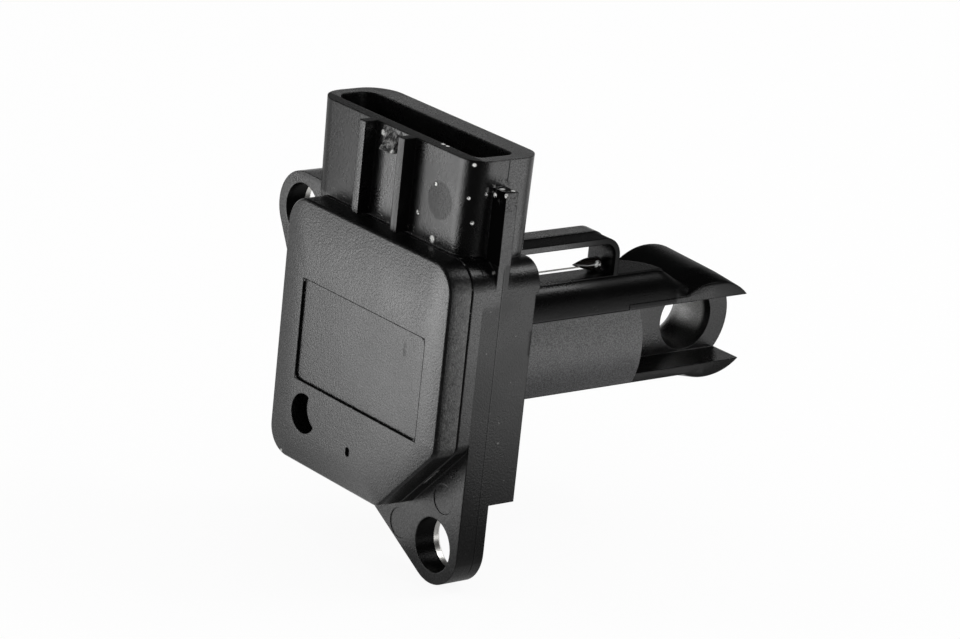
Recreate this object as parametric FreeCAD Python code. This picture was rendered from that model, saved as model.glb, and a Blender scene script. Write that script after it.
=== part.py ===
import FreeCAD, Part
import math
import os

# Mass airflow sensor, in millimetres. The origin lies on the flange's rear face, where it meets the
# air duct, straight behind the middle of the front cover. X points right as the cover is seen, Y
# points into the duct and Z points up, the way the connector opens.

# Case and cover, as the cover is seen
case_width = 34.4
case_height = 34.7
corner_radius = 3.7
bevel_offset = 24.1          # the sloping corner lies where x - z has this value
bevel_end_radius = 2.4
least_corner_radius = 0.6    # of the outline where it is drawn in
least_bevel_end_radius = 0.4
case_rise = 1.9              # case wall in front of the flange
case_wall = 2.9
cover_thickness = 3.4
cover_inset = 0.05
cover_edge_round = 0.5
cover_hollow_depth = 1.5
seam_chamfer = 0.14

# Flange with two ears
flange_thickness = 4.2
ear_radius = 5.1
upper_ear_reach = 4.3        # the upper screw hole's centre lies this far outside the case
screw_pitch_z = 34.2
lower_ear_z = -21.15
screw_hole_radius = 3.55
left_flank_foot_z = -5.4
lower_flank_foot_x = -5.9
ejector_radius = 1.95
ejector_depth = 0.1
ejector_gap = 3.4            # from the lower ear's outline to the mark above it
ejector_lift = 0.45
bush_length = 1.3
bush_wall = 0.75
bush_flare = 0.55
bush_step = 0.05

# Block that plugs the opening of the duct
block_depth = 3.95
block_bottom = -14.7
block_top = 16.7
block_corner_radius = 3.0
block_lip = 0.45             # low step across the top of the block's rear face
block_lip_bottom = 12.9
chamber_floor_thickness = 2.75

# Cover groove and its adhesive
groove_inset = 0.9
groove_width = 1.1
groove_depth = 1.3
tongue_clearance = 0.15
tongue_height = 0.9

# Bare panel, crescent pocket and gate dimple on the cover
panel_width = 25.8
panel_height = 13.4
panel_centre_x = 0.15
panel_centre_z = 0.38
panel_depth = 0.35
panel_corner_radius = 0.9
crescent_radius = 2.62
crescent_bite_radius = 2.71
crescent_x = -10.23
crescent_z = -10.42
crescent_bite_x = 3.4
crescent_bite_z = 1.33
crescent_depth = 2.5
crescent_tip_round = 0.25
crescent_boss_wall = 1.3
dimple_x = -0.31
dimple_z = -12.25
dimple_width = 0.8
dimple_height = 1.2
dimple_depth = 0.5
dimple_corner_radius = 0.36

# Connector shroud, which opens upwards
shroud_left = -19.0
shroud_right = 14.5
shroud_front = -5.7
shroud_back = 5.2
shroud_rim_z = 29.65
shroud_taper = 0.4           # each side wall leans out by this much over the height of the shroud
shroud_wall = 1.65
shroud_back_wall = 3.2
shroud_left_radius = 4.0
shroud_right_radius = 3.0
shroud_foot_z = 12.6
socket_depth = 11.2
front_rib_width = 1.26
front_rib_pitch = 8.2
front_rib_x = -6.7
front_rib_height = 1.9
front_rib_gap = 0.2
rib_root_depth = 1.0         # how far the ribs and the latch nub are rooted in the shroud's wall
latch_width = 2.5
latch_x = -3.0
latch_top_z = 29.0
latch_catch_z = 26.7
latch_height = 1.3
side_rib_front = -2.5
side_rib_thickness = 1.9
side_rib_top_z = 26.3

# Terminals, moulded into the wall between socket and chamber
terminal_count = 5
terminal_pitch = 4.2
terminal_width = 1.5
terminal_thickness = 0.6
terminal_back_y = 0.0
terminal_top_z = 27.0
terminal_tip = 0.7
terminal_foot_z = 10.9
shelf_foot_z = 10.4

# Arm that reaches into the duct, and the guard over the air temperature sensor
arm_half_width = 6.9
arm_bottom = -5.65
arm_top = 5.4
arm_edge_round = 0.3
arm_root_depth = 1.0         # how far the arm is rooted in the block, and the rail in the arm
rail_right = 4.9
rail_left = 1.32
rail_top = 8.84
rail_flare = 1.0             # under the guard the rail's right side spreads towards its foot
rail_flare_start = 0.8       # below the rail's top
guard_left = -0.55
guard_top = 14.15
guard_thickness = 0.95
guard_leg_inner_y = 27.0
guard_leg_thickness = 0.86
guard_corner_radius = 2.7
guard_step_x = 1.8
guard_step = 0.1
rail_end_y = 35.2
rail_end_radius = 5.2
rail_fairing_width = 2.2
strip_start_y = 28.7         # before this place the right face is set back above the lid
strip_step = 0.7

# Bell at the tip, with its axis across the arm
tip_y = 43.3
tip_z = 0.1
bell_centre_y = 42.6
bell_reach = 8.0             # half length along the arm
bell_face_reach = 7.85       # the right face is centred on the passage
bell_left_height = 7.93      # half heights at the left face, the parting line and the right face
bell_parting_height = 7.45
bell_right_height = 6.6
bell_parting_x = 2.9
bell_face_round = 0.3
bell_mouth_round = 0.4
passage_face_radius = 4.45
passage_throat_radius = 3.5
passage_throat_x = -2.9
passage_mouth_radius = 7.0
passage_waist_sag = 0.2      # the passage's wall bows in this much between its face and throat

# Bypass channel in the arm's right face, and its cover
channel_top = 4.45
channel_bottom = -4.5
channel_floor_x = 1.7
channel_start_y = 8.0
channel_outlet_length = 5.0
channel_outlet_margin = 1.5
lid_end_y = 30.5
lid_bulge = 1.25
lid_top = 4.36
lid_bottom = -5.6
lid_plug_depth = 0.8
lid_plug_bottom = -4.35
lid_plug_top = 4.3
lid_wall = 1.2

# Flow sensing elements on their pins
pin_count = 4
pin_radius = 0.3
pin_pitch = 2.0
pin_x = 4.3
pin_rise = 1.5               # above the chamber's floor
pin_reach_y = 17.0
cold_pin_shorter = 3.0       # the two lower pins end this much before the others
element_setback = 1.0        # from a pin's end to its element
element_radius = 0.4

# Air temperature sensor
bead_radius = 0.92
bead_x = 2.2
bead_y = 26.05
bead_tip_y = 22.1
bead_z = 9.77
bead_tip_z = 9.95
lead_radius = 0.11
lead_x = 2.2
lead_z = 9.54
lead_offset_x = 0.25
lead_offset_z = 0.1
lead_rise = 0.4

# Circuit in the chamber
plate_width = 14.8
plate_height = 19.9
plate_gap_left = 0.7         # from the chamber's walls
plate_gap_bottom = 2.95
plate_thickness = 1.0
plate_corner_radius = 1.0
board_margin = 0.6
board_thickness = 0.7
board_corner_radius = 0.3
chip_size = 6.4
chip_thickness = 1.1
capacitor_length = 1.8
capacitor_width = 1.1
capacitor_thickness = 0.9
resistor_length = 1.4
resistor_width = 0.8
resistor_thickness = 0.45
resistor_pitch = 2.4
part_margin = 0.6            # from the board's edge to the nearest chip part
part_gap = 1.6               # between the capacitors and the resistors
ribbon_width = 0.5
ribbon_thickness = 0.12
ribbon_rise = 0.9
ribbon_foot = 0.35
ribbon_shoulder = 0.35       # share of its run at which a ribbon reaches its full rise
bond_pad = 0.9
gel_front_y = -3.2
gel_clearance = 0.05

mate_y = 0.0
flange_y = mate_y - flange_thickness
seam_y = flange_y - case_rise
face_y = seam_y - cover_thickness
block_y = mate_y + block_depth
floor_y = block_y - chamber_floor_thickness
half_width = case_width / 2
half_height = case_height / 2
lower_ear_x = half_width - ear_radius
upper_ear_x = -half_width - upper_ear_reach
upper_ear_z = lower_ear_z + screw_pitch_z
floor_z = shroud_rim_z - socket_depth
shroud_middle_x = (shroud_left + shroud_right) / 2
leg_outer_y = guard_leg_inner_y + guard_leg_thickness
arm_root_y = block_y - arm_root_depth
rail_foot_z = arm_top - arm_root_depth
plate_left = -half_width + case_wall + plate_gap_left
plate_right = plate_left + plate_width
plate_bottom = -half_height + case_wall + plate_gap_bottom
plate_top = plate_bottom + plate_height
board_front = floor_y - plate_thickness - board_thickness
eased = 1 - math.sqrt(0.5)   # share of a rounding's radius at which two flats follow its arc
past = 1.0                   # a cutting shape reaches this far past what it cuts

vec = FreeCAD.Vector


def front(y):
    """Place (x, z) pairs on the plane at this y."""
    return lambda a, b: vec(a, y, b)


def level(z):
    """Place (x, y) pairs on the plane at this height."""
    return lambda a, b: vec(a, b, z)


def side(x):
    """Place (y, z) pairs on the plane at this x."""
    return lambda a, b: vec(x, a, b)


def rounded_wire(corners, place):
    """Closed outline through (a, b, radius) corners, each rounded by a tangent arc."""
    edges = []
    starts = []
    ends = []
    arcs = []
    for index, (a, b, radius) in enumerate(corners):
        before = corners[index - 1]
        after = corners[(index + 1) % len(corners)]
        here = place(a, b)
        towards_before = (place(before[0], before[1]) - here).normalize()
        towards_after = (place(after[0], after[1]) - here).normalize()
        if radius == 0:
            starts.append(here)
            ends.append(here)
            arcs.append(None)
            continue
        half_angle = towards_before.getAngle(towards_after) / 2
        reach = radius / math.tan(half_angle)
        bisector = (towards_before + towards_after).normalize()
        middle = here + bisector * (radius / math.sin(half_angle) - radius)
        starts.append(here + towards_before * reach)
        ends.append(here + towards_after * reach)
        arcs.append(middle)
    for index, middle in enumerate(arcs):
        if middle is not None:
            edges.append(Part.Arc(starts[index], middle, ends[index]).toShape())
        following = starts[(index + 1) % len(arcs)]
        if (following - ends[index]).Length > 1e-6:
            edges.append(Part.makeLine(ends[index], following))
    return Part.Wire(edges)


def prism(corners, place, travel):
    """Rounded outline pushed along a vector."""
    return Part.Face(rounded_wire(corners, place)).extrude(travel)


def box(x0, x1, y0, y1, z0, z1):
    """Box between two corners."""
    return Part.makeBox(x1 - x0, y1 - y0, z1 - z0, vec(x0, y0, z0))


def drum(radius, x, z, y0, y1):
    """Cylinder along y."""
    return Part.makeCylinder(radius, y1 - y0, vec(x, y0, z), vec(0, 1, 0))


def rectangle(a0, a1, b0, b1, radius):
    """Corners of a rectangle, all with the same radius."""
    return [(a0, b0, radius), (a1, b0, radius), (a1, b1, radius), (a0, b1, radius)]


def joined(pieces):
    """One solid made of several that overlap."""
    body = pieces[0]
    for piece in pieces[1:]:
        body = body.fuse(piece)
    return body


def case_corners(inset):
    """Outline of the case and cover, drawn in by inset: a rectangle with one sloping corner."""
    w = half_width - inset
    h = half_height - inset
    slope = bevel_offset - inset * math.sqrt(2)
    soft = max(corner_radius - inset, least_corner_radius)
    soft_end = max(bevel_end_radius - inset, least_bevel_end_radius)
    return [
        (-w, h, soft),
        (w, h, soft),
        (w, w - slope, soft_end),
        (slope - h, -h, soft_end),
        (-w, -h, soft),
    ]


def case_ring(outer_inset, inner_inset, y0, y1):
    """Ring that follows the case's outline between two insets."""
    travel = vec(0, y1 - y0, 0)
    outer = prism(case_corners(outer_inset), front(y0), travel)
    inner = prism(case_corners(inner_inset), front(y0), travel)
    return outer.cut(inner)


def flank_slope(foot_x, foot_z, ear_x, ear_z, turn):
    """Slope of the line from a foot that just touches an ear, on the side that turn gives."""
    along = math.atan2(ear_z - foot_z, ear_x - foot_x)
    distance = math.hypot(ear_x - foot_x, ear_z - foot_z)
    return math.tan(along + turn * math.asin(ear_radius / distance))


def edges_where(shape, test):
    """Edges whose every vertex and middle pass the test."""
    found = []
    for edge in shape.Edges:
        middle = edge.valueAt((edge.FirstParameter + edge.LastParameter) / 2)
        points = [vertex.Point for vertex in edge.Vertexes] + [middle]
        if all(test(point) for point in points):
            found.append(edge)
    return found


def make_front_cover():
    """Moulded cover: hollow behind, with a tongue for the groove, a bare panel and a pocket."""
    body = prism(case_corners(cover_inset), front(face_y), vec(0, cover_thickness, 0))
    rim = edges_where(body, lambda p: abs(p.y - face_y) < 1e-6)
    body = body.makeChamfer(cover_edge_round * 2 * eased, rim)
    for depth in (0, cover_edge_round * 2 * eased):
        rim = edges_where(body, lambda p: abs(p.y - face_y - depth) < 1e-6)
        body = body.makeChamfer(cover_edge_round * eased * eased, rim)
    seam = edges_where(body, lambda p: abs(p.y - seam_y) < 1e-6)
    body = body.makeChamfer(seam_chamfer, seam)
    hollow = prism(case_corners(case_wall), front(seam_y - cover_hollow_depth), vec(0, cover_hollow_depth, 0))
    boss = drum(crescent_radius + crescent_boss_wall, crescent_x, crescent_z, face_y, seam_y)
    body = body.cut(hollow.cut(boss))
    tongue_inset = groove_inset + tongue_clearance
    tongue_end = groove_inset + groove_width - tongue_clearance
    body = body.fuse(case_ring(tongue_inset, tongue_end, seam_y, seam_y + tongue_height))
    panel = rectangle(
        panel_centre_x - panel_width / 2,
        panel_centre_x + panel_width / 2,
        panel_centre_z - panel_height / 2,
        panel_centre_z + panel_height / 2,
        panel_corner_radius,
    )
    body = body.cut(prism(panel, front(face_y), vec(0, panel_depth, 0)))
    crescent = drum(crescent_radius, crescent_x, crescent_z, face_y, face_y + crescent_depth)
    bite = drum(
        crescent_bite_radius,
        crescent_x + crescent_bite_x,
        crescent_z + crescent_bite_z,
        face_y,
        face_y + crescent_depth,
    )
    crescent = crescent.cut(bite)
    horns = [
        edge
        for edge in crescent.Edges
        if abs(edge.Length - crescent_depth) < 1e-6 and abs(edge.tangentAt(0).y) > 0.99
        and abs(math.hypot(
            edge.Vertexes[0].X - crescent_x - crescent_bite_x,
            edge.Vertexes[0].Z - crescent_z - crescent_bite_z,
        ) - crescent_bite_radius) < 1e-4
    ]
    body = body.cut(crescent.makeFillet(crescent_tip_round, horns))
    dimple = rectangle(
        dimple_x - dimple_width / 2,
        dimple_x + dimple_width / 2,
        dimple_z - dimple_height / 2,
        dimple_z + dimple_height / 2,
        dimple_corner_radius,
    )
    return body.cut(prism(dimple, front(face_y), vec(0, dimple_depth, 0)))


def make_groove():
    """Groove in the end of the case wall."""
    return case_ring(groove_inset, groove_inset + groove_width, seam_y, seam_y + groove_depth)


def make_cover_sealant():
    """Adhesive that fills the groove round the cover's tongue."""
    tongue_inset = groove_inset + tongue_clearance
    tongue_end = groove_inset + groove_width - tongue_clearance
    return make_groove().cut(case_ring(tongue_inset, tongue_end, seam_y, seam_y + tongue_height))


def flange_corners():
    """Outline of the flange: straight flanks run from the case to each ear and just touch it."""
    left = flank_slope(-half_width, left_flank_foot_z, upper_ear_x, upper_ear_z, 1)
    upper = flank_slope(half_width, half_height, upper_ear_x, upper_ear_z, -1)
    lower = flank_slope(lower_flank_foot_x, -half_height, lower_ear_x, lower_ear_z, -1)
    meeting_x = (half_height - left_flank_foot_z - left * half_width - upper * half_width) / (left - upper)
    meeting_z = half_height + upper * (meeting_x - half_width)
    lower_corner_z = -half_height + (half_width - lower_flank_foot_x) * lower
    return [
        (-half_width, left_flank_foot_z, 0),
        (meeting_x, meeting_z, ear_radius),
        (half_width, half_height, corner_radius),
        (half_width, lower_corner_z, ear_radius),
        (lower_flank_foot_x, -half_height, 0),
        (-half_width, -half_height, corner_radius),
    ]


def shroud_section(z, inset, back_inset):
    """Outline of the shroud at a height, drawn in by its insets; below the rim its ends lean in."""
    lean = shroud_taper * (shroud_rim_z - z) / (shroud_rim_z - half_height)
    x0 = shroud_left + lean + inset
    x1 = shroud_right - lean - inset
    y0 = shroud_front + inset
    y1 = shroud_back - back_inset
    left = shroud_left_radius - inset
    right = shroud_right_radius - inset
    return rounded_wire([(x0, y0, left), (x1, y0, right), (x1, y1, right), (x0, y1, left)], level(z))


def make_shroud():
    """Connector shroud with a foot that draws in to the block and the flange."""
    upper = [shroud_section(half_height, 0, 0), shroud_section(shroud_rim_z, 0, 0)]
    body = Part.makeLoft(upper, True, True)
    x0 = -half_width
    x1 = shroud_right - shroud_taper
    foot = rounded_wire(
        [
            (x0, shroud_front, shroud_left_radius),
            (x1, shroud_front, shroud_right_radius),
            (x1, block_y, shroud_right_radius),
            (x0, block_y, shroud_left_radius),
        ],
        level(shroud_foot_z),
    )
    return body.fuse(Part.makeLoft([foot, upper[0]], True, True))


def make_socket():
    """Space inside the shroud."""
    low = shroud_section(floor_z, shroud_wall, shroud_back_wall)
    high = shroud_section(shroud_rim_z, shroud_wall, shroud_back_wall)
    return Part.makeLoft([low, high], True, True)


def make_shroud_ribs():
    """Two guide ribs and the latch nub in front, and the key rib on the right."""
    pieces = []
    rib_foot = half_height + front_rib_gap
    for index in range(2):
        x0 = front_rib_x + index * front_rib_pitch
        y0 = shroud_front - front_rib_height
        pieces.append(box(x0, x0 + front_rib_width, y0, shroud_front + rib_root_depth, rib_foot, shroud_rim_z))
    wedge = [
        (shroud_front + rib_root_depth, latch_top_z, 0),
        (shroud_front, latch_top_z, 0),
        (shroud_front - latch_height, latch_catch_z, 0),
        (shroud_front + rib_root_depth, latch_catch_z, 0),
    ]
    pieces.append(prism(wedge, side(latch_x), vec(latch_width, 0, 0)))
    key_root = shroud_right - rib_root_depth
    key_back = side_rib_front + side_rib_thickness
    pieces.append(box(key_root, half_width, side_rib_front, key_back, shroud_foot_z, side_rib_top_z))
    return pieces


def terminal_left(index):
    """Left side of a terminal, counted from the left."""
    row = (terminal_count - 1) * terminal_pitch
    return shroud_middle_x - row / 2 + index * terminal_pitch - terminal_width / 2


def make_terminal(index):
    """Flat blade with a tapered tip, from the chamber's shelf up into the socket."""
    x0 = terminal_left(index)
    y0 = terminal_back_y - terminal_thickness
    taper = terminal_width / 4
    outline = [
        (x0, terminal_foot_z, 0),
        (x0 + terminal_width, terminal_foot_z, 0),
        (x0 + terminal_width, terminal_top_z - terminal_tip, 0),
        (x0 + terminal_width - taper, terminal_top_z, 0),
        (x0 + taper, terminal_top_z, 0),
        (x0, terminal_top_z - terminal_tip, 0),
    ]
    return prism(outline, front(y0), vec(0, terminal_thickness, 0))


def make_chamber():
    """Space for the circuit, with a shelf along its top for the terminals' feet."""
    space = prism(case_corners(case_wall), front(seam_y), vec(0, floor_y - seam_y, 0))
    shelf = box(-half_width, half_width, terminal_back_y, floor_y, shelf_foot_z, half_height)
    return space.cut(shelf)


def make_guard():
    """Thin arch over the temperature sensor, with its leg down to the rail."""
    outer = [
        (arm_root_y, rail_foot_z, 0),
        (leg_outer_y, rail_foot_z, 0),
        (leg_outer_y, guard_top, guard_corner_radius),
        (arm_root_y, guard_top, 0),
    ]
    body = prism(outer, side(guard_left), vec(rail_right - guard_left, 0, 0))
    inner_radius = guard_corner_radius - guard_thickness
    window = [
        (block_y, rail_top, 0),
        (guard_leg_inner_y, rail_top, 0),
        (guard_leg_inner_y, guard_top - guard_thickness, inner_radius),
        (block_y, guard_top - guard_thickness, 0),
    ]
    body = body.cut(prism(window, side(guard_left), vec(rail_right - guard_left, 0, 0)))
    below = box(guard_left, rail_left, arm_root_y, guard_leg_inner_y, rail_foot_z, rail_top)
    step = [
        (block_y, guard_top - guard_step, 0),
        (leg_outer_y - guard_step, guard_top - guard_step, guard_corner_radius),
        (leg_outer_y - guard_step, rail_top, 0),
        (leg_outer_y + past, rail_top, 0),
        (leg_outer_y + past, guard_top + past, 0),
        (block_y, guard_top + past, 0),
    ]
    return body.cut(below).cut(prism(step, side(guard_step_x), vec(rail_right, 0, 0)))


def bell_section(x, inset):
    """Ellipse of the bell's outside at a place across the arm, drawn in by inset."""
    if x < bell_parting_x:
        start = (-arm_half_width, bell_centre_y, bell_reach, bell_left_height)
        end = (bell_parting_x, bell_centre_y, bell_reach, bell_parting_height)
    else:
        start = (bell_parting_x, bell_centre_y, bell_reach, bell_parting_height)
        end = (arm_half_width, tip_y, bell_face_reach, bell_right_height)
    share = (x - start[0]) / (end[0] - start[0])
    centre_y, reach, height = [a + (b - a) * share for a, b in zip(start[1:], end[1:])]
    ellipse = Part.Ellipse(vec(0, 0, 0), reach - inset, height - inset)
    wire = Part.Wire([ellipse.toShape()])
    turn = FreeCAD.Rotation(vec(0, 1, 0), vec(0, 0, 1), vec(1, 0, 0))
    wire.Placement = FreeCAD.Placement(vec(x, centre_y, tip_z), turn)
    return wire


def make_bell():
    """Outside of the tip: an oval drum with more draft on the right of its parting line."""
    sections = [
        bell_section(-arm_half_width, bell_mouth_round),
        bell_section(-arm_half_width + bell_mouth_round * eased, bell_mouth_round * eased),
        bell_section(-arm_half_width + bell_mouth_round, 0),
        bell_section(bell_parting_x, 0),
        bell_section(arm_half_width - bell_face_round, 0),
        bell_section(arm_half_width - bell_face_round * eased, bell_face_round * eased),
        bell_section(arm_half_width, bell_face_round),
    ]
    return Part.makeLoft(sections, True, True)


def make_passage():
    """Air passage across the tip: it narrows to a throat and opens again as a bell mouth."""
    axis = vec(0, tip_y, tip_z)

    def at(x, radius):
        return vec(x, tip_y, tip_z + radius)

    start = at(channel_floor_x + passage_waist_sag, passage_face_radius)
    throat = at(passage_throat_x, passage_throat_radius)
    mouth = at(-arm_half_width, passage_mouth_radius)
    waist = at(
        (channel_floor_x + passage_throat_x) / 2,
        (passage_face_radius + passage_throat_radius) / 2 - passage_waist_sag,
    )
    spread = passage_mouth_radius - passage_throat_radius
    sweep = at(-arm_half_width + spread * eased, passage_throat_radius + spread * eased)
    edges = [
        Part.makeLine(vec(start.x, tip_y, tip_z), start),
        Part.Arc(start, waist, throat).toShape(),
        Part.Arc(throat, sweep, mouth).toShape(),
        Part.makeLine(mouth, vec(-arm_half_width, tip_y, tip_z)),
        Part.makeLine(vec(-arm_half_width, tip_y, tip_z), vec(start.x, tip_y, tip_z)),
    ]
    return Part.Face(Part.Wire(edges)).revolve(axis, vec(1, 0, 0), 360)


def make_channel():
    """Bypass channel in the arm's right face, open at the tip, with an outlet on the left."""
    reach = bell_centre_y + bell_reach + past
    groove = box(channel_floor_x, arm_half_width + past, lid_end_y, reach, channel_bottom, channel_top)
    covered = box(
        channel_floor_x, arm_half_width, channel_start_y, lid_end_y, channel_bottom, channel_top
    )
    outlet = box(
        -arm_half_width,
        channel_floor_x,
        channel_start_y,
        channel_start_y + channel_outlet_length,
        channel_bottom + channel_outlet_margin,
        channel_top - channel_outlet_margin,
    )
    return groove.fuse(covered).fuse(outlet)


def make_arm():
    """Arm with its rail and guard, before the channel is cut."""
    body = box(-arm_half_width, arm_half_width, arm_root_y, bell_centre_y, arm_bottom, arm_top)
    long_edges = edges_where(
        body, lambda p: abs(abs(p.x) - arm_half_width) < 1e-6 and abs(p.z - arm_top) < 1e-6
    )
    body = body.makeFillet(arm_edge_round, long_edges)
    rail = prism(
        [
            (rail_left, arm_root_y, 0),
            (rail_right, arm_root_y, 0),
            (rail_right, rail_end_y, 0),
            (guard_left, rail_end_y, rail_end_radius),
            (guard_left, guard_leg_inner_y, 0),
            (rail_left, guard_leg_inner_y, 0),
        ],
        level(rail_foot_z),
        vec(0, 0, rail_top - rail_foot_z),
    )
    flare = prism(
        [
            (rail_left, rail_foot_z, 0),
            (rail_right + rail_flare, rail_foot_z, 0),
            (rail_right, rail_top - rail_flare_start, 0),
            (rail_left, rail_top - rail_flare_start, 0),
        ],
        front(arm_root_y),
        vec(0, leg_outer_y - arm_root_y, 0),
    )
    fairing = prism(
        [
            (rail_end_y, rail_foot_z, 0),
            (rail_end_y, rail_top, 0),
            (rail_end_y + rail_top - rail_foot_z, rail_foot_z, 0),
        ],
        side(rail_right - rail_fairing_width),
        vec(rail_fairing_width, 0, 0),
    )
    return joined([body, rail, flare, fairing, make_guard()]).removeSplitter()


def ear_places():
    """Centres of the two screw holes, lower one first."""
    return [(lower_ear_x, lower_ear_z), (upper_ear_x, upper_ear_z)]


def make_bush(x, z):
    """Metal ring at the rear of a screw hole, with a flared inner edge."""
    inner = screw_hole_radius - bush_step
    start = mate_y - bush_length
    ring = drum(screw_hole_radius + bush_wall, x, z, start, mate_y)
    ring = ring.cut(drum(inner, x, z, start, mate_y))
    flare = Part.makeCone(
        inner, inner + bush_flare, bush_flare, vec(x, mate_y - bush_flare, z), vec(0, 1, 0)
    )
    return ring.cut(flare)


def make_housing(moulded_in):
    """The black moulding that carries everything; moulded_in are the pieces it holds tight."""
    case = prism(case_corners(0), front(seam_y), vec(0, flange_y - seam_y, 0))
    seam = edges_where(case, lambda p: abs(p.y - seam_y) < 1e-6)
    case = case.makeChamfer(seam_chamfer, seam)
    block = prism(
        [
            (-half_width, block_bottom, 0),
            (half_width, block_bottom, 0),
            (half_width, block_top, block_corner_radius),
            (-half_width, block_top, block_corner_radius),
        ],
        front(mate_y),
        vec(0, block_y - mate_y, 0),
    )
    flange = prism(flange_corners(), front(flange_y), vec(0, flange_thickness, 0))
    lip = prism(
        [
            (-half_width, block_lip_bottom, 0),
            (half_width, block_lip_bottom, 0),
            (half_width, block_top, block_corner_radius),
            (-half_width, block_top, block_corner_radius),
        ],
        front(block_y),
        vec(0, block_lip, 0),
    )
    pieces = [flange, case, block, lip, make_shroud()] + make_shroud_ribs()
    body = joined(pieces).removeSplitter()
    body = body.cut(make_chamber()).cut(make_groove()).cut(make_socket())
    body = joined([body, make_arm()]).removeSplitter()
    set_back = box(
        arm_half_width - strip_step, arm_half_width + past, block_y, strip_start_y, lid_top, arm_top + past
    )
    body = body.cut(set_back).fuse(make_bell()).cut(make_channel()).cut(make_passage())
    for x, z in ear_places():
        body = body.cut(drum(screw_hole_radius, x, z, flange_y, mate_y))
        body = body.cut(drum(screw_hole_radius + bush_wall, x, z, mate_y - bush_length, mate_y))
    marks = [
        (half_width - ejector_radius * 2.0, lower_ear_z + ear_radius + ejector_gap - ejector_radius),
        (lower_ear_x - ear_radius - ejector_radius, lower_ear_z + ejector_lift),
    ]
    for x, z in marks:
        body = body.cut(drum(ejector_radius, x, z, flange_y, flange_y + ejector_depth))
    for piece in moulded_in:
        body = body.cut(piece)
    return body


def make_lid():
    """Bypass cover: a bulging lid whose hollow plug sits in the channel."""
    y0 = block_y
    crown_x = arm_half_width + lid_bulge
    middle_z = (lid_top + lid_bottom) / 2
    crown = Part.Arc(
        vec(arm_half_width, y0, lid_bottom),
        vec(crown_x, y0, middle_z),
        vec(arm_half_width, y0, lid_top),
    ).toShape()
    chord = Part.makeLine(vec(arm_half_width, y0, lid_top), vec(arm_half_width, y0, lid_bottom))
    shell = Part.Face(Part.Wire([crown, chord])).extrude(vec(0, lid_end_y - y0, 0))
    plug = box(
        arm_half_width - lid_plug_depth,
        arm_half_width,
        channel_start_y + tongue_clearance,
        lid_end_y,
        lid_plug_bottom,
        lid_plug_top,
    )
    hollow = box(
        arm_half_width - lid_plug_depth,
        arm_half_width,
        channel_start_y + lid_wall,
        lid_end_y,
        lid_plug_bottom + lid_wall,
        lid_plug_top - lid_wall,
    )
    return shell.fuse(plug).cut(hollow).removeSplitter()


def make_lid_sealant(lid):
    """Adhesive in the gap between the lid's plug and the channel's edges."""
    gap = box(
        arm_half_width - lid_plug_depth,
        arm_half_width,
        channel_start_y,
        lid_end_y,
        channel_bottom,
        channel_top,
    )
    inside = box(
        arm_half_width - lid_plug_depth,
        arm_half_width,
        channel_start_y + tongue_clearance,
        lid_end_y,
        lid_plug_bottom,
        lid_plug_top,
    )
    return gap.cut(inside).cut(lid)


def pin_z(index):
    """Height of an element pin, counted from the top."""
    return tip_z + ((pin_count - 1) / 2 - index) * pin_pitch


def make_pin(index):
    """Round pin from the chamber through the block into the channel."""
    reach = pin_reach_y if index in (0, 1) else pin_reach_y - cold_pin_shorter
    return drum(pin_radius, pin_x, pin_z(index), floor_y - pin_rise, reach)


def make_element(first):
    """Wound resistor that spans two pins just short of their ends."""
    reach = pin_reach_y if first == 0 else pin_reach_y - cold_pin_shorter
    body = Part.makeCylinder(
        element_radius,
        pin_pitch,
        vec(pin_x, reach - element_setback, pin_z(first + 1)),
        vec(0, 0, 1),
    )
    for index in (first, first + 1):
        body = body.cut(drum(pin_radius, pin_x, pin_z(index), block_y, pin_reach_y))
    return max(body.Solids, key=lambda solid: solid.Volume)


def make_bead():
    """Dipped drop: a ball at its far end, drawn out to a point over the leads."""
    start = vec(bead_x, bead_tip_y, bead_tip_z)
    centre = vec(bead_x, bead_y, bead_z)
    along = centre - start
    length = along.Length
    unit = vec(along).normalize()
    up = unit.cross(vec(1, 0, 0)).normalize()
    if up.z < 0:
        up = up * -1
    touch = math.acos(bead_radius / length)
    shoulder = centre + unit * (-bead_radius * math.cos(touch)) + up * (bead_radius * math.sin(touch))
    end = centre + unit * bead_radius
    side_point = centre + up * bead_radius
    edges = [
        Part.makeLine(start + up * (lead_radius / 2), shoulder),
        Part.Arc(shoulder, side_point, end).toShape(),
        Part.makeLine(end, start),
        Part.makeLine(start, start + up * (lead_radius / 2)),
    ]
    return Part.Face(Part.Wire(edges)).revolve(start, unit, 360)


def lead_place(index):
    """X and z of a thermistor lead."""
    turn = 1 if index == 0 else -1
    return lead_x + turn * lead_offset_x, lead_z + turn * lead_offset_z


def make_lead(index, bead):
    """Straight wire from the chamber through the block to the bead."""
    x, z = lead_place(index)
    wire = drum(lead_radius, x, z, floor_y - lead_rise, bead_y)
    return max(wire.cut(bead).Solids, key=lambda solid: solid.Volume)


def make_base_plate():
    """Aluminium plate on the chamber's floor."""
    outline = rectangle(plate_left, plate_right, plate_bottom, plate_top, plate_corner_radius)
    return prism(outline, front(floor_y - plate_thickness), vec(0, plate_thickness, 0))


def make_board():
    """Ceramic board on the plate."""
    outline = rectangle(
        plate_left + board_margin,
        plate_right - board_margin,
        plate_bottom + board_margin,
        plate_top - board_margin,
        board_corner_radius,
    )
    return prism(outline, front(board_front), vec(0, board_thickness, 0))


def chip_places(columns, rows, left, bottom, step_x, step_z):
    """Grid of places on the board."""
    return [(left + step_x * i, bottom + step_z * j) for i in range(columns) for j in range(rows)]


def make_chip():
    """Control chip in the middle of the board."""
    x0 = (plate_left + plate_right - chip_size) / 2
    z0 = (plate_bottom + plate_top - chip_size) / 2
    return box(x0, x0 + chip_size, board_front - chip_thickness, board_front, z0, z0 + chip_size)


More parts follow.
